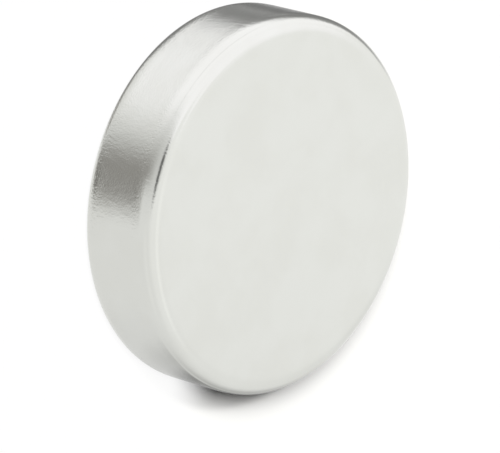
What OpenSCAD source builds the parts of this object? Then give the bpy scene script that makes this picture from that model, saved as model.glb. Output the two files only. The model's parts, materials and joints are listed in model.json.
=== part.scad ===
// Disc magnet: one sintered round plate, ground flat on both pole faces,
// tumbled to a round edge and plated all over.
// It lies on a pole face. The origin is the centre of that face, and +Z is the
// disc's axis, which is also the direction it is magnetised in.

/* [Disc] */
// Outside diameter of the rim
disc_diameter = 25; // [8:0.5:60]
// Height from pole face to pole face
disc_thickness = 6; // [3:0.5:20]

/* [Edges] */
// Radius of the round edge between the lower pole face and the rim
lower_edge_radius = 0.95; // [0.2:0.05:1.4]
// Radius of the round edge between the upper pole face and the rim
upper_edge_radius = 0.95; // [0.2:0.05:1.4]

/* [Curves] */
// Sides drawn round the rim
rim_sides = 240; // [48:12:360]
// Sides drawn for a full circle of the edge's arc
edge_sides = 64; // [16:4:96]

/* [Hidden] */
disc_radius = disc_diameter / 2;
plating_colour = [0.89, 0.9, 0.88];

// Half of the disc's section, from the axis out to the rim, with the lower pole
// face on the X axis. It is two blocks that meet between the edges: each is as
// wide as its pole face, and reaches the rim from the height where its edge ends.
module half_section() {
    lower_face_radius = disc_radius - lower_edge_radius;
    upper_face_radius = disc_radius - upper_edge_radius;
    wall_bottom = lower_edge_radius;
    wall_top = disc_thickness - upper_edge_radius;
    mid_height = (wall_bottom + wall_top) / 2;

    // The straight wall of the rim
    translate([0, wall_bottom]) square([disc_radius, wall_top - wall_bottom]);
    // The stock under each pole face
    square([lower_face_radius, mid_height]);
    translate([0, mid_height]) square([upper_face_radius, disc_thickness - mid_height]);
    // The round edges
    translate([lower_face_radius, wall_bottom]) circle(r = lower_edge_radius, $fn = edge_sides);
    translate([upper_face_radius, wall_top]) circle(r = upper_edge_radius, $fn = edge_sides);
}

// The whole magnet: the half section turned once round the axis.
module magnet() {
    color(plating_colour) rotate_extrude($fn = rim_sides) half_section();
}

magnet();
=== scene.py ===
"""A nickel-plated disc magnet lying on a white table, seen from above its front.

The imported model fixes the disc's size and place. This script gives it a turned, plated surface,
and sets up what stands round it: a light tent for the metal to mirror, a white table, three wide
lamps and the camera.
"""

from __future__ import annotations

import json
import logging
import math
from dataclasses import dataclass
from enum import Enum
from typing import Any, Union

import bmesh
import bpy
from mathutils import Euler, Matrix, Vector, noise

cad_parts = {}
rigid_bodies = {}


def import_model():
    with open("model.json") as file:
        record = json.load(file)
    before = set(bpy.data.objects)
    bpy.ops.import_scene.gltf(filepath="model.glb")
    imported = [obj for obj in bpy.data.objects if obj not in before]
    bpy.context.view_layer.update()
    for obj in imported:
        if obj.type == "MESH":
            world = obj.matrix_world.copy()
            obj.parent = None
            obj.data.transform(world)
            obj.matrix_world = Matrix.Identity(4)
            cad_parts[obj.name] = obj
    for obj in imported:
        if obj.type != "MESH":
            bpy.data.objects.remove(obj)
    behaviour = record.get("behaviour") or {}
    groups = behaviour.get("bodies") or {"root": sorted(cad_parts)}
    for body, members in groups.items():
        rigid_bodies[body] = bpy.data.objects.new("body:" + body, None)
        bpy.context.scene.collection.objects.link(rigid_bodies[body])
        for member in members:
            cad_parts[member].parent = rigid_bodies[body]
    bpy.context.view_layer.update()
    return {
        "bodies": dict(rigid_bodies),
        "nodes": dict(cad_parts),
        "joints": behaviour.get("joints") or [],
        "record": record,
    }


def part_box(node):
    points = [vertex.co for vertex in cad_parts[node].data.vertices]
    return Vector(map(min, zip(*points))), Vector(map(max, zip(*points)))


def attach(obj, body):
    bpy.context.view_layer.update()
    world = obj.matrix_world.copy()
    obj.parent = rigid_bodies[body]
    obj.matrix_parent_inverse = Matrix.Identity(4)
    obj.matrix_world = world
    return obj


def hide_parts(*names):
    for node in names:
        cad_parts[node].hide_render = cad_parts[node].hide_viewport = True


LOG = logging.getLogger("disc_magnet")
MM = 0.001

Socket = bpy.types.NodeSocket
Given = Union[Socket, float, tuple[float, ...]]


class RayKind(Enum):
    """The kinds of light ray that the stage treats apart, by their Light Path outputs."""

    CAMERA = "Is Camera Ray"
    GLOSSY = "Is Glossy Ray"
    TRANSMISSION = "Is Transmission Ray"


@dataclass(frozen=True)
class Pattern:
    """An even random pattern.

    Attributes:
        size: the size of its blobs, in metres.
        detail: how many finer layers it holds.
        seed: its place along the fourth axis, so that two patterns differ.
    """

    size: float
    detail: float
    seed: float


class NodeSheet:
    """A material's or a world's node tree, with short ways to add and join nodes."""

    MIX_INPUTS = (0, 6, 7)  # a Mix node's share, first colour and second colour
    MIX_RESULT = 2  # its mixed colour

    def __init__(self, tree: bpy.types.NodeTree) -> None:
        """Starts from an empty tree."""
        self.tree = tree
        tree.nodes.clear()

    @classmethod
    def of_material(cls, name: str) -> tuple[bpy.types.Material, NodeSheet]:
        """Makes a material with an empty node tree.

        Args:
            name: the material's name.

        Returns:
            The material and its sheet.
        """
        material = bpy.data.materials.new(name)
        material.use_nodes = True
        return material, cls(material.node_tree)

    def add(self, kind: str, **settings: object) -> bpy.types.Node:
        """Adds a node.

        Args:
            kind: the node's type, such as ShaderNodeMath.
            settings: properties of the node, such as operation="ADD".

        Returns:
            The new node.
        """
        node = self.tree.nodes.new(kind)
        for name, value in settings.items():
            setattr(node, name, value)
        return node

    def feed(self, socket: Socket, value: Given) -> None:
        """Gives an input socket its value.

        Args:
            socket: the input.
            value: an output socket to join to it, or a plain number, colour or vector.
        """
        if isinstance(value, Socket):
            self.tree.links.new(value, socket)
        else:
            socket.default_value = value

    def fill(self, kind: str, inputs: dict[str, Given], **settings: object) -> bpy.types.Node:
        """Adds a node and gives the inputs named their values.

        Args:
            kind: the node's type.
            inputs: the value of each input, by the input's name.
            settings: properties of the node.

        Returns:
            The new node.
        """
        node = self.add(kind, **settings)
        for name, value in inputs.items():
            self.feed(node.inputs[name], value)
        return node

    def join(self, kind: str, *values: Given, **settings: object) -> bpy.types.Node:
        """Adds a node and gives its first inputs their values, in order.

        Args:
            kind: the node's type.
            values: the values.
            settings: properties of the node.

        Returns:
            The new node.
        """
        node = self.add(kind, **settings)
        for socket, value in zip(node.inputs, values):
            self.feed(socket, value)
        return node

    def finish(self, kind: str, surface: Socket) -> None:
        """Adds the tree's output node, of the type given, and joins the surface to it."""
        self.fill(kind, {"Surface": surface})

    def parts(self, vector: Socket) -> bpy.types.bpy_prop_collection:
        """Splits a vector into outputs named X, Y and Z."""
        return self.fill("ShaderNodeSeparateXYZ", {"Vector": vector}).outputs

    def math(self, operation: str, *values: Given) -> Socket:
        """Works out one sum, such as MULTIPLY, of one, two or three numbers or sockets."""
        return self.join("ShaderNodeMath", *values, operation=operation).outputs[0]

    def fall(self, value: Given, start: float, end: float) -> Socket:
        """Falls smoothly from 1 to 0 as a value grows.

        Args:
            value: the number or socket tested.
            start: up to here the result is 1.
            end: from here on the result is 0.

        Returns:
            The result's output socket.
        """
        inputs = {"Value": value, "From Min": start, "From Max": end, "To Min": 1.0, "To Max": 0.0}
        node = self.fill("ShaderNodeMapRange", inputs, interpolation_type="SMOOTHSTEP")
        return node.outputs["Result"]

    def climb(self, value: Given, start: float, end: float) -> Socket:
        """Climbs smoothly from 0, up to the start, to 1, from the end on, as a value grows."""
        return self.math("SUBTRACT", 1.0, self.fall(value, start, end))

    def tone(self, share: Given, first: Given, second: Given, label: str = "") -> Socket:
        """Mixes two colours.

        Args:
            share: 0 gives the first and 1 the second.
            first: a colour or socket.
            second: a colour or socket.
            label: what the node is called in the tree.

        Returns:
            The mixed colour's output socket.
        """
        node = self.add("ShaderNodeMix", data_type="RGBA", label=label)
        for place, value in zip(self.MIX_INPUTS, (share, first, second)):
            self.feed(node.inputs[place], value)
        return node.outputs[self.MIX_RESULT]

    def noise(self, position: Socket, pattern: Pattern) -> Socket:
        """Adds an even random pattern.

        Args:
            position: the coordinates that it follows.
            pattern: its size, detail and seed.

        Returns:
            The pattern's output socket, about 0.5 on average.
        """
        inputs = {"Vector": position, "Scale": 1.0 / pattern.size, "Detail": pattern.detail,
                  "W": pattern.seed}
        return self.fill("ShaderNodeTexNoise", inputs, noise_dimensions="4D").outputs[0]


@dataclass(frozen=True)
class NickelPlating:
    """Bright nickel on a ground and tumbled blank: slightly warm, softly glossy and fine-grained.

    The faces are ground flat, so the grain is faint there. It is stronger on the wall, strongest
    beside the lower edge, and calm from the upper edge on.

    Attributes:
        face_radius: the radius of the flat part of each pole face.
        half_thickness: half of the disc's thickness.
        edge_radius: the radius of the round edges.
        name: the material's name.
        colour: the clean metal's colour.
        worn_colour: its colour where it was handled.
        mottle: where it was handled.
        mottle_range: the pattern's values where the worn colour begins and where it is full.
        roughness: the gloss on average.
        roughness_spread: how far the gloss wanders to each side.
        gloss: where the gloss wanders.
        grain: the fine grain.
        grain_height: its height.
        ripple: the long ripples among the grain.
        ripple_stretch: below 1 draws them out along the axis.
        ripple_height: their height.
        pits: the shallow pits.
        pit_range: the pattern's values inside a pit and outside it.
        pit_depth: the depth of a pit beside a round edge.
        wall_pit_share: how much of that depth is left on the faces and on the middle of the wall.
        face_share: how much of the relief is left on the faces.
        face_fade: how far to each side of a face's border the relief changes.
        edge_share: how much the relief gains beside the round edges.
        edge_fade: how far down the wall that gain reaches.
        crest_calm: how much of the relief is lost from the upper edge on.
        crest_fade: how far below the upper edge that loss begins.
    """

    face_radius: float
    half_thickness: float
    edge_radius: float
    name: str = "nickel_plating"
    colour: tuple[float, float, float] = (0.775, 0.783, 0.745)
    worn_colour: tuple[float, float, float] = (0.757, 0.763, 0.722)
    mottle: Pattern = Pattern(size=3.2 * MM, detail=3.0, seed=5.0)
    mottle_range: tuple[float, float] = (0.35, 0.68)
    roughness: float = 0.14
    roughness_spread: float = 0.03
    gloss: Pattern = Pattern(size=0.9 * MM, detail=2.0, seed=11.0)
    grain: Pattern = Pattern(size=0.11 * MM, detail=2.0, seed=3.0)
    grain_height: float = 0.0062 * MM
    ripple: Pattern = Pattern(size=0.36 * MM, detail=2.0, seed=8.0)
    ripple_stretch: float = 0.45
    ripple_height: float = 0.008 * MM
    pits: Pattern = Pattern(size=0.13 * MM, detail=0.0, seed=21.0)
    pit_range: tuple[float, float] = (0.3, 0.42)
    pit_depth: float = 0.0022 * MM
    wall_pit_share: float = 0.3
    face_share: float = 0.22
    face_fade: float = 0.3 * MM
    edge_share: float = 0.8
    edge_fade: float = 1.1 * MM
    crest_calm: float = 0.65
    crest_fade: float = 0.5 * MM

    def material(self) -> bpy.types.Material:
        """Makes the finish as a node material in Object coordinates.

        Returns:
            The material.
        """
        material, sheet = NodeSheet.of_material(self.name)
        position = sheet.add("ShaderNodeTexCoord").outputs["Object"]
        patchy = sheet.math("SUBTRACT", sheet.noise(position, self.gloss), 0.5)
        bump = sheet.fill("ShaderNodeBump", {
            "Strength": 1.0,
            "Distance": 1.0,
            "Height": self._relief(sheet, position),
        })
        shader = sheet.fill("ShaderNodeBsdfPrincipled", {
            "Metallic": 1.0,
            "Base Color": self._stain(sheet, position),
            "Roughness": sheet.math("MULTIPLY_ADD", patchy, 2 * self.roughness_spread,
                                    self.roughness),
            "Normal": bump.outputs["Normal"],
        })
        sheet.finish("ShaderNodeOutputMaterial", shader.outputs[0])
        return material

    def _stain(self, sheet: NodeSheet, position: Socket) -> Socket:
        """Clouds the metal's colour a little, as handling does.

        Args:
            sheet: the material's node tree.
            position: the Object coordinates.

        Returns:
            The colour's output socket.
        """
        cloud = sheet.noise(position, self.mottle)
        share = sheet.climb(cloud, *self.mottle_range)
        return sheet.tone(share, (*self.colour, 1.0), (*self.worn_colour, 1.0))

    def _relief(self, sheet: NodeSheet, position: Socket) -> Socket:
        """Adds up the plating's grain, ripples and pits, each as strong as its place lets it be.

        Args:
            sheet: the material's node tree.
            position: the Object coordinates.

        Returns:
            The height's output socket, in metres.
        """
        place = sheet.parts(position)
        off_faces = self._off_faces(sheet, place["X"], place["Y"])
        by_edges = sheet.math("MULTIPLY", self._by_edges(sheet, place["Z"]), off_faces)
        grain = sheet.math("MULTIPLY", sheet.noise(position, self.grain), self.grain_height)
        drawn = sheet.fill("ShaderNodeMapping",
                           {"Vector": position, "Scale": (1.0, 1.0, self.ripple_stretch)})
        ripple = sheet.noise(drawn.outputs[0], self.ripple)
        ripple = sheet.math("MULTIPLY", ripple, self.ripple_height)
        pits = sheet.fall(sheet.noise(position, self.pits), *self.pit_range)
        pits = sheet.math("MULTIPLY", pits, -self.pit_depth)
        pit_share = sheet.math("MULTIPLY_ADD", by_edges, 1.0 - self.wall_pit_share,
                               self.wall_pit_share)
        pits = sheet.math("MULTIPLY", pits, pit_share)
        relief = sheet.math("ADD", sheet.math("ADD", grain, ripple), pits)
        strength = sheet.math("MULTIPLY_ADD", off_faces, 1.0 - self.face_share, self.face_share)
        strength = sheet.math("MULTIPLY_ADD", by_edges, self.edge_share, strength)
        strength = sheet.math("MULTIPLY", strength, self._below_crest(sheet, place["Z"]))
        return sheet.math("MULTIPLY", relief, strength)

    def _off_faces(self, sheet: NodeSheet, x: Socket, y: Socket) -> Socket:
        """Marks what lies outside the flat faces.

        Args:
            sheet: the material's node tree.
            x: the place along X.
            y: the place along Y.

        Returns:
            A socket that is 0 on the faces and 1 on the round edges and the wall.
        """
        squares = [sheet.math("MULTIPLY", side, side) for side in (x, y)]
        from_axis = sheet.math("SQRT", sheet.math("ADD", *squares))
        return sheet.climb(from_axis, self.face_radius - self.face_fade,
                           self.face_radius + self.face_fade)

    def _by_edges(self, sheet: NodeSheet, z: Socket) -> Socket:
        """Marks the heights of the round edges.

        Args:
            sheet: the material's node tree.
            z: the place along Z.

        Returns:
            A socket that is 0 at the middle of the wall and 1 from each round edge on.
        """
        from_middle = sheet.math("ABSOLUTE", sheet.math("SUBTRACT", z, self.half_thickness))
        straight = self.half_thickness - self.edge_radius
        return sheet.climb(from_middle, straight - self.edge_fade, straight)

    def _below_crest(self, sheet: NodeSheet, z: Socket) -> Socket:
        """Calms the relief from the upper edge on.

        Args:
            sheet: the material's node tree.
            z: the place along Z.

        Returns:
            The share of the relief that is kept, 1 on nearly all of the wall.
        """
        crest = 2 * self.half_thickness - self.edge_radius
        below = sheet.fall(z, crest - self.crest_fade, crest)
        return sheet.math("MULTIPLY_ADD", below, self.crest_calm, 1.0 - self.crest_calm)


@dataclass
class Magnet:
    """The disc: one turned section with round edges, blended by tumbling and a little uneven.

    Attributes:
        radius: the disc's radius.
        thickness: its thickness.
        edge_radius: the radius of its round edges.
        turns: how many steps the turned section takes.
        face_rings: the rings of faces on the middle of each pole face.
        border_rings: the finer rings between those and the round edge.
        edge_rings: the rings of faces on each round edge.
        blend_passes: how often the section is smoothed.
        blend_allowance: how much smaller a corner is drawn, since the smoothing widens it.
        weld: points closer than this are one point.
        wave_height: the most that the surface sinks.
        wave_size: the size of its waves.
    """

    radius: float
    thickness: float
    edge_radius: float
    turns: int = 450
    face_rings: int = 26
    border_rings: int = 14
    edge_rings: int = 20
    blend_passes: int = 30
    blend_allowance: float = 0.11 * MM
    weld: float = 0.0001 * MM
    wave_height: float = 0.004 * MM
    wave_size: float = 2.6 * MM

    @classmethod
    def from_frame(cls, frame: dict[str, Any]) -> Magnet:
        """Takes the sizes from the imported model.


        Returns:
            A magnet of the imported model's size.
        """
        low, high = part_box("magnet")
        rim = next(mount for mount in frame["record"]["mounts"] if mount["name"] == "rim")
        wall = rim["dims"]["length_mm"] * MM
        thickness = high.z - low.z
        return cls(radius=(high.x - low.x) / 2, thickness=thickness,
                   edge_radius=(thickness - wall) / 2)

    @property
    def face_radius(self) -> float:
        """The radius of the flat part of each pole face."""
        return self.radius - self.edge_radius

    def build(self) -> bpy.types.Object:
        """Makes the disc, dressed and riding on the part's only body.

        Returns:
            The disc's object.
        """
        mesh = bpy.data.meshes.new("plated_disc")
        shape = bmesh.new()
        self._draw_section(shape)
        self._turn(shape)
        self._settle_order(shape)
        self._wave(shape)
        for face in shape.faces:
            face.smooth = True
        shape.to_mesh(mesh)
        shape.free()
        disc = bpy.data.objects.new("plated_disc", mesh)
        bpy.context.scene.collection.objects.link(disc)
        finish = NickelPlating(self.face_radius, self.thickness / 2, self.edge_radius)
        mesh.materials.append(finish.material())
        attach(disc, "root")
        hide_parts("magnet")
        return disc

    def _draw_section(self, shape: bmesh.types.BMesh) -> None:
        """Draws half of the section as a wire from pole to pole, with round, blended corners.

        Args:
            shape: the empty mesh to draw in.
        """
        corners = ((0, 0, 0), (self.radius, 0, 0), (self.radius, 0, self.thickness),
                   (0, 0, self.thickness))
        points = [shape.verts.new(corner) for corner in corners]
        for pair in zip(points, points[1:]):
            shape.edges.new(pair)
        corner_radius = self.edge_radius - self.blend_allowance
        bmesh.ops.bevel(shape, geom=points[1:3], offset=corner_radius, offset_type="OFFSET",
                        affect="VERTICES", segments=self.edge_rings, profile=0.5, material=-1)
        step = corner_radius * math.pi / 2 / self.edge_rings
        for line in [edge for edge in shape.edges if self._is_straight(edge, step)]:
            self._divide(shape, line, step)
        poles = [vertex for vertex in shape.verts if len(vertex.link_edges) == 1]
        between = [vertex for vertex in shape.verts if vertex not in poles]
        for _ in range(self.blend_passes):
            bmesh.ops.smooth_vert(shape, verts=between, factor=0.5,
                                  use_axis_x=True, use_axis_y=True, use_axis_z=True)

    @staticmethod
    def _is_straight(edge: bmesh.types.BMEdge, step: float) -> bool:
        """Tells a straight of the section from a short step of a round edge."""
        return edge.calc_length() > 2 * step

    def _divide(self, shape: bmesh.types.BMesh, line: bmesh.types.BMEdge, step: float) -> None:
        """Divides a straight of the section: finely by the round edges, coarsely towards a pole.

        Args:
            shape: the mesh that holds the section.
            line: the straight.
            step: the spacing beside the round edges.
        """
        pole = next((vertex for vertex in line.verts if len(vertex.link_edges) == 1), None)
        if pole is None:
            cuts = round(line.calc_length() / step) - 1
            bmesh.ops.subdivide_edges(shape, edges=[line], cuts=cuts)
            return
        border = self.border_rings * step / line.calc_length()
        half = bmesh.utils.edge_split(line, pole, 1.0 - border)[0]
        rest = next(edge for edge in shape.edges if edge != half and self._is_straight(edge, step)
                    and set(edge.verts) & set(half.verts))
        inner, outer = (half, rest) if pole in half.verts else (rest, half)
        bmesh.ops.subdivide_edges(shape, edges=[inner], cuts=self.face_rings - 1)
        bmesh.ops.subdivide_edges(shape, edges=[outer], cuts=self.border_rings - 1)

    def _turn(self, shape: bmesh.types.BMesh) -> None:
        """Turns the section once round the axis and closes both poles.

        Args:
            shape: the mesh that holds the section.
        """
        bmesh.ops.spin(shape, geom=shape.verts[:] + shape.edges[:], cent=(0, 0, 0),
                       axis=(0, 0, 1), angle=math.tau, steps=self.turns, use_merge=True)
        bmesh.ops.remove_doubles(shape, verts=shape.verts, dist=self.weld)
        bmesh.ops.recalc_face_normals(shape, faces=shape.faces)

    def _settle_order(self, shape: bmesh.types.BMesh) -> None:
        """Puts the faces in the order of their points, so that each run gives the same mesh.

        Args:
            shape: the turned disc.
        """
        shape.verts.index_update()
        count = len(shape.verts)

        def rank(face: bmesh.types.BMFace) -> int:
            """Makes one number of a face's three lowest points, which no other face shares."""
            low, middle, high = sorted(vertex.index for vertex in face.verts)[:3]
            return (low * count + middle) * count + high

        shape.faces.sort(key=rank)

    def _wave(self, shape: bmesh.types.BMesh) -> None:
        """Sinks the surface by up to the wave height, so that what it mirrors wavers a little.

        Args:
            shape: the turned disc.
        """
        shape.normal_update()
        for vertex in shape.verts:
            dip = 0.5 + 0.5 * noise.noise(vertex.co / self.wave_size)
            vertex.co -= vertex.normal * self.wave_height * dip


class Tint(Enum):
    """The tints that a panel of the tent may have."""

    NEUTRAL = (1.0, 1.0, 1.0)
    COOL = (1.0, 0.99, 1.02)
    WARM = (1.03, 1.0, 0.96)

    def at(self, level: float) -> tuple[float, float, float, float]:
        """Gives the tint as a colour of the level asked for."""
        red, green, blue = self.value
        return (level * red, level * green, level * blue, 1.0)


@dataclass(frozen=True)
class Span:
    """A range of degrees, with how softly it begins and ends.

    Attributes:
        start: where it begins.
        end: where it ends.
        start_fade: how far to each side its beginning fades. 0 leaves it open.
        end_fade: the same at its end.
    """

    start: float
    end: float
    start_fade: float
    end_fade: float

    @property
    def middle(self) -> float:
        """The middle of the range."""
        return (self.start + self.end) / 2

    def moved(self, by: float) -> Span:
        """Gives the same range further along."""
        return Span(self.start + by, self.end + by, self.start_fade, self.end_fade)

    def mask(self, sheet: NodeSheet, angle: Socket) -> list[Socket]:
        """Marks the angles inside the range.

        Args:
            sheet: the node tree.
            angle: the angle tested, in degrees.

        Returns:
            The sockets whose product is 1 in the range and 0 outside it.
        """
        masks = []
        if self.start_fade:
            masks.append(sheet.climb(angle, self.start - self.start_fade,
                                     self.start + self.start_fade))
        if self.end_fade:
            masks.append(sheet.fall(angle, self.end - self.end_fade, self.end + self.end_fade))
        return masks


@dataclass(frozen=True)
class TentPanel:
    """One panel of the light tent, as the directions that it fills when seen from the disc.

    Attributes:
        name: what the panel is.
        azimuth: the degrees that it spans, anticlockwise from +X.
        height: the degrees that it spans above the table's plane.
        level: how bright it is, 1 being white.
        tint: its tint.
    """

    name: str
    azimuth: Span
    height: Span
    level: float
    tint: Tint = Tint.NEUTRAL


ALL_ROUND = Span(-180, 180, 0, 0)


@dataclass(frozen=True)
class LightTent:
    """The white tent that the metal mirrors.

    Attributes:
        base_level: the tent's level where no panel hangs.
        table_level: the level of the light that the tent sends to the table.
        table_tint: that light's tint.
        camera_level: the level that the camera sees past the table.
        matt_bounces: a mirror ray with more matt bounces than this sees the table's light.
        panels: its panels, which hang one over another, in this order.
    """

    base_level: float = 0.87
    table_level: float = 0.05
    table_tint: Tint = Tint.WARM
    camera_level: float = 1.0
    matt_bounces: float = 0.5
    panels: tuple[TentPanel, ...] = (
        # The haze at the side, and the sweep, ceiling and wall behind.
        TentPanel("side_haze", Span(8, 75, 30, 8), Span(-46, 14, 6, 22), 0.765),
        TentPanel("back_sweep", Span(50, 200, 20, 10), Span(0, 90, 30, 0), 0.90),
        TentPanel("ceiling", ALL_ROUND, Span(48, 90, 24, 0), 0.98),
        TentPanel("back_wall", Span(87.5, 200, 3, 10), Span(-10, 90, 20, 0), 1.01),
        TentPanel("back_skirt", Span(79, 200, 6, 10), Span(-34, 2, 8, 10), 0.99),
        TentPanel("top_strip", Span(62, 92, 12, 8), Span(50, 70, 5, 8), 1.06),
        TentPanel("table_light", Span(52, 110, 34, 10), Span(-90, -50, 0, 7), 0.95),
        # The softbox, from its foot at the side to overhead.
        TentPanel("nadir_shade", Span(-200, -116, 8, 14), Span(-82, -64, 5, 8), 0.36, Tint.WARM),
        TentPanel("softbox_foot", Span(-168, -116, 8, 14), Span(-64, -40, 5, 5), 0.88),
        TentPanel("side_softbox", Span(122, 238, 10, 22), Span(-44, 34, 8, 8), 1.17, Tint.COOL),
        TentPanel("softbox_rim", Span(98, 112, 5, 6), Span(38, 50, 4, 4), 1.13, Tint.COOL),
        TentPanel("overhead_softbox", Span(107, 238, 8, 22), Span(30, 71, 8, 5), 1.16, Tint.COOL),
        TentPanel("horizon_seam", Span(170, 250, 12, 18), Span(-4.2, -1.8, 1.6, 1.6), 0.85),
        # The dark gap in front, where the camera looks in.
        TentPanel("gap_upper", Span(-112, -80, 18, 20), Span(-66, 78, 8, 9), 0.67),
        TentPanel("gap_lower", Span(-98.2, -84.5, 16.5, 7), Span(-73, -3, 8, 36), 0.305,
                  Tint.WARM),
        TentPanel("gap_foot", Span(-95, -64.5, 8, 10), Span(-70, -36, 8, 9), 0.305, Tint.WARM),
        TentPanel("gap_sill", Span(-84, -71, 4, 5), Span(-57, -47.5, 3, 3), 0.15, Tint.WARM),
        TentPanel("lens", Span(-109, -75, 7, 12), Span(45, 65.5, 6, 6), 0.13),
        # Shade and glow low at the other side.
        TentPanel("low_shade", Span(24, 68, 26, 12), Span(-18, 0, 11, 26), 0.42),
        TentPanel("side_glow", Span(-58, -14, 12, 12), Span(2, 28, 12, 12), 0.92),
        # The black flag at the back, with its folds and the light between them.
        TentPanel("flag_foot", Span(106, 163, 6, 12), Span(-76, -42, 5, 5), 0.25),
        TentPanel("flag_hem", Span(150, 182, 8, 10), Span(-66, -46, 6, 2.5), 0.25),
        TentPanel("flag_corner", Span(111, 140, 5, 8), Span(-10, 5, 6, 8), 0.38),
        TentPanel("dark_flag", Span(113, 154, 8, 9), Span(-40, -3.5, 8, 12), 0.27),
        TentPanel("dark_flag_low", Span(98, 152.5, 6, 7), Span(-60, -30, 6, 8), 0.27),
        TentPanel("flag_fold", Span(112, 124, 6, 5), Span(-46, -30, 4, 8), 0.2),
        TentPanel("flag_gap", Span(128.5, 131.5, 2, 2.5), Span(-42.5, -37, 2, 3), 0.5),
        TentPanel("flag_slit", Span(100, 107, 4, 5), Span(-43, -34, 2, 6), 0.5),
    )

    def hang(self) -> None:
        """Makes the world: white to the camera, the tent to the metal, and plain to the table."""
        world = bpy.data.worlds.new("light_tent")
        world.use_nodes = True
        bpy.context.scene.world = world
        sheet = NodeSheet(world.node_tree)
        rays = sheet.add("ShaderNodeLightPath").outputs
        mirrored = sheet.math("MAXIMUM", rays[RayKind.GLOSSY.value],
                              rays[RayKind.TRANSMISSION.value])
        straight = sheet.math("LESS_THAN", rays["Diffuse Depth"], self.matt_bounces)
        mirrored = sheet.math("MULTIPLY", mirrored, straight)
        plain = self.table_tint.at(self.table_level)
        colour = sheet.tone(mirrored, plain, self._lining(sheet), "to_metal")
        colour = sheet.tone(rays[RayKind.CAMERA.value], colour, Tint.NEUTRAL.at(self.camera_level),
                            "to_camera")
        background = sheet.fill("ShaderNodeBackground", {"Color": colour, "Strength": 1.0})
        sheet.finish("ShaderNodeOutputWorld", background.outputs[0])

    def _lining(self, sheet: NodeSheet) -> Given:
        """Hangs the panels one over another.

        Args:
            sheet: the world's node tree.

        Returns:
            The colour of the tent in the direction looked at.
        """
        direction = sheet.add("ShaderNodeTexCoord").outputs["Generated"]
        rise = sheet.math("ARCSINE", sheet.parts(direction)["Z"])
        height = sheet.math("DEGREES", rise)
        colour: Given = Tint.NEUTRAL.at(self.base_level)
        for panel in self.panels:
            share = self._patch(sheet, direction, height, panel)
            colour = sheet.tone(share, colour, panel.tint.at(panel.level), panel.name)
        return colour

    def _patch(self, sheet: NodeSheet, direction: Socket, height: Socket,
               panel: TentPanel) -> Socket:
        """Marks the directions that a panel covers.

        Args:
            sheet: the world's node tree.
            direction: the direction looked at, as a unit vector.
            height: its height above the table's plane, in degrees.
            panel: the panel.

        Returns:
            A socket that is 1 on the panel, 0 off it and between the two on its soft edges.
        """
        masks = panel.height.mask(sheet, height)
        if panel.azimuth is not ALL_ROUND:
            inputs = {"Vector": direction, "Angle": -math.radians(panel.azimuth.middle)}
            turned = sheet.fill("ShaderNodeVectorRotate", inputs, rotation_type="Z_AXIS")
            place = sheet.parts(turned.outputs[0])
            aside = sheet.math("DEGREES", sheet.math("ARCTAN2", place["Y"], place["X"]))
            masks += panel.azimuth.moved(-panel.azimuth.middle).mask(sheet, aside)
        share = masks[0]
        for mask in masks[1:]:
            share = sheet.math("MULTIPLY", share, mask)
        return share


@dataclass(frozen=True)
class MirroredShade:
    """A soft shade painted on the table by the disc, which only the metal's mirror rays see.

    Attributes:
        x: its middle along X.
        y: its middle along Y.
        core: the radius inside which it is full.
        reach: the radius at which it ends.
        level: the share of the tent's light that its core lets through.
    """

    x: float
    y: float
    core: float
    reach: float
    level: float


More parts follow.
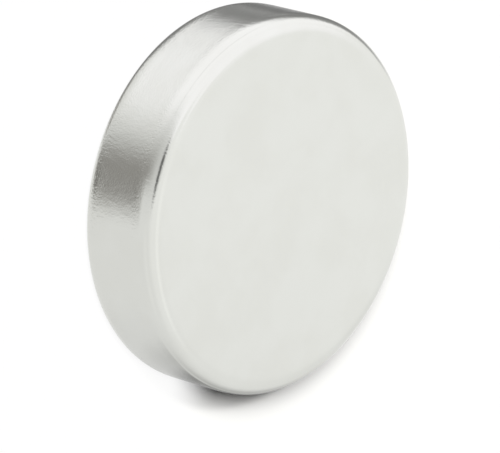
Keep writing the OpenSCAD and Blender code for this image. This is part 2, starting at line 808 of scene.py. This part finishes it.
@dataclass(frozen=True)
class Table:
    """The white table that the disc lies on.

    Attributes:
        size: the length of its side.
        paint: its matt colour.
        glow: the light of its own that the camera sees on it.
        front_light: how much painted white light covers it in front of the disc's middle line.
        front_fade: how far behind that line the painted white ends.
        shades: the shades painted on it, which only the metal mirrors.
    """

    size: float = 8.0
    paint: tuple[float, float, float] = (0.8, 0.798, 0.782)
    glow: float = 0.025
    front_light: float = 0.9
    front_fade: float = 5.0 * MM
    # Painted shade: dark patches on the table that only the metal mirrors. They stand in for the
    # darker table by the disc, and the last one for the disc's shadow behind it.
    shades: tuple[MirroredShade, ...] = (
        MirroredShade(15.6 * MM, 4.8 * MM, 2.6 * MM, 6.2 * MM, 0.51),
        MirroredShade(17.0 * MM, 11.0 * MM, 2.0 * MM, 8.0 * MM, 0.68),
        MirroredShade(17.0 * MM, -0.3 * MM, 1.5 * MM, 6.5 * MM, 0.77),
        MirroredShade(11.5 * MM, 15.5 * MM, 2.5 * MM, 6.0 * MM, 0.8),
        MirroredShade(0.5 * MM, 6.2 * MM, 10.8 * MM, 13.6 * MM, 0.3),
    )

    def lay(self) -> None:
        """Makes the floor, which takes the disc's shadow."""
        mesh = bpy.data.meshes.new("table_top")
        shape = bmesh.new()
        bmesh.ops.create_grid(shape, x_segments=1, y_segments=1, size=self.size / 2)
        shape.to_mesh(mesh)
        shape.free()
        table = bpy.data.objects.new("table_top", mesh)
        bpy.context.scene.collection.objects.link(table)
        mesh.materials.append(self._material())

    def _material(self) -> bpy.types.Material:
        """Makes the table's white.

        The camera sees a matt white that glows a little, mixed in front of the disc with painted
        light, a plain white that washes out the disc's shadow there. The metal sees the tent
        through it, dimmed by the painted shades. Other rays see the matt white alone.

        Returns:
            The material.
        """
        material, sheet = NodeSheet.of_material("table_white")
        rays = sheet.add("ShaderNodeLightPath").outputs
        by_camera = rays[RayKind.CAMERA.value]
        position = sheet.add("ShaderNodeTexCoord").outputs["Object"]
        paint = sheet.fill("ShaderNodeBsdfDiffuse", {"Color": (*self.paint, 1.0)})
        glow = sheet.fill("ShaderNodeEmission",
                          {"Strength": sheet.math("MULTIPLY", by_camera, self.glow)})
        lit = sheet.join("ShaderNodeAddShader", paint.outputs[0], glow.outputs[0])
        # Painted light: in front of the disc the camera sees plain white over the table. It washes
        # out the disc's shadow and the crease along the disc's foot.
        in_front = sheet.fall(sheet.parts(position)["Y"], 0.0, self.front_fade)
        in_front = sheet.math("MULTIPLY", in_front, self.front_light)
        white = sheet.add("ShaderNodeEmission")
        seen = self._either(sheet, sheet.math("MULTIPLY", by_camera, in_front), lit, white)
        # Painted shade: mirror rays pass through the table to the tent, dimmed by the painted
        # shades.
        clear = sheet.fill("ShaderNodeBsdfTransparent", {"Color": self._dimmed(sheet, position)})
        surface = self._either(sheet, rays[RayKind.GLOSSY.value], seen, clear)
        sheet.finish("ShaderNodeOutputMaterial", surface.outputs[0])
        return material

    def _either(self, sheet: NodeSheet, share: Socket, first: bpy.types.Node,
                second: bpy.types.Node) -> bpy.types.Node:
        """Mixes two shaders: a share of 0 gives the first and 1 the second."""
        return sheet.join("ShaderNodeMixShader", share, first.outputs[0], second.outputs[0])

    def _dimmed(self, sheet: NodeSheet, position: Socket) -> Given:
        """Works out how much of the tent's light the table lets the metal mirror.

        Args:
            sheet: the table's node tree.
            position: the Object coordinates.

        Returns:
            A grey's output socket, 1 away from the shades.
        """
        light: Given = 1.0
        for shade in self.shades:
            gap = sheet.join("ShaderNodeVectorMath", position, (shade.x, shade.y, 0.0),
                             operation="DISTANCE")
            inside = sheet.fall(gap.outputs["Value"], shade.core, shade.reach)
            dimming = sheet.math("MULTIPLY_ADD", inside, shade.level - 1.0, 1.0)
            light = sheet.math("MULTIPLY", light, dimming)
        return light


@dataclass(frozen=True)
class SoftLamp:
    """A lamp far away, as wide as its spread. The metal mirrors the tent instead of it.

    Attributes:
        name: what the lamp is.
        azimuth: the degrees from +X, anticlockwise, to where it hangs.
        elevation: its degrees above the table's plane.
        spread: the degrees that it fills.
        strength: its strength, in watts per square metre.
    """

    name: str
    azimuth: float
    elevation: float
    spread: float
    strength: float

    def hang(self) -> None:
        """Adds the lamp, tilted from straight above to its elevation and turned to its azimuth."""
        data = bpy.data.lights.new(self.name, "SUN")
        data.energy = self.strength
        data.angle = math.radians(self.spread)
        lamp = bpy.data.objects.new(self.name, data)
        bpy.context.scene.collection.objects.link(lamp)
        tilt, turn = math.radians(90 - self.elevation), math.radians(self.azimuth + 90)
        lamp.rotation_euler = Euler((tilt, 0, turn))
        lamp.visible_glossy = False


LAMPS = (
    SoftLamp("key_lamp", azimuth=-104.0, elevation=44.0, spread=16.0, strength=2.9),
    SoftLamp("low_lamp", azimuth=-98.0, elevation=41.0, spread=10.0, strength=1.48),
    SoftLamp("high_lamp", azimuth=-116.0, elevation=54.0, spread=5.0, strength=1.08),
)


@dataclass(frozen=True)
class Viewpoint:
    """The camera, in front of the disc and above it, rolled so that the disc seems to stand.

    Attributes:
        elevation: its degrees above the table's plane.
        distance: how far it is from the disc's middle.
        lens_mm: its focal length.
        sensor_mm: its sensor's width.
        roll: the degrees that it is rolled.
        aim_right: how far to its right of the disc's middle it aims.
        aim_down: how far below the disc's middle it aims.
        near: the nearest that it sees.
        far: the farthest that it sees.
    """

    elevation: float = 41.26
    distance: float = 312.5 * MM
    lens_mm: float = 348.3
    sensor_mm: float = 36.0
    roll: float = 104.875
    aim_right: float = -0.08 * MM
    aim_down: float = 1.793 * MM
    near: float = 0.01
    far: float = 20.0

    def set_up(self, centre: Vector) -> None:
        """Makes the scene's camera.

        Args:
            centre: the middle of the disc.
        """
        tilt = math.radians(self.elevation)
        away = Vector((0, -math.cos(tilt), math.sin(tilt)))
        place = centre + away * self.distance
        upright = away.to_track_quat("Z", "Y").to_matrix()
        held = upright @ Matrix.Rotation(math.radians(self.roll), 3, "Z")
        aim = centre + held.col[0] * self.aim_right - held.col[1] * self.aim_down
        swing = away.rotation_difference((place - aim).normalized()).to_matrix()
        data = bpy.data.cameras.new("camera")
        data.lens = self.lens_mm
        data.sensor_width = self.sensor_mm
        data.clip_start = self.near
        data.clip_end = self.far
        camera = bpy.data.objects.new("camera", data)
        bpy.context.scene.collection.objects.link(camera)
        camera.matrix_world = Matrix.Translation(place) @ (swing @ held).to_4x4()
        bpy.context.scene.camera = camera


def main() -> None:
    logging.basicConfig(level=logging.INFO, format="%(name)s: %(message)s")
    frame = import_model()
    magnet = Magnet.from_frame(frame)
    disc = magnet.build()
    LOG.info("%s: %d faces, %.1f mm across", disc.name, len(disc.data.polygons),
             2 * magnet.radius / MM)
    Viewpoint().set_up(Vector((0, 0, magnet.thickness / 2)))
    tent = LightTent()
    tent.hang()
    Table().lay()
    for lamp in LAMPS:
        lamp.hang()
    LOG.info("stage: table, %d tent panels, %d lamps", len(tent.panels), len(LAMPS))
    bpy.context.scene.view_settings.view_transform = "Standard"


if __name__ == "__main__":
    main()
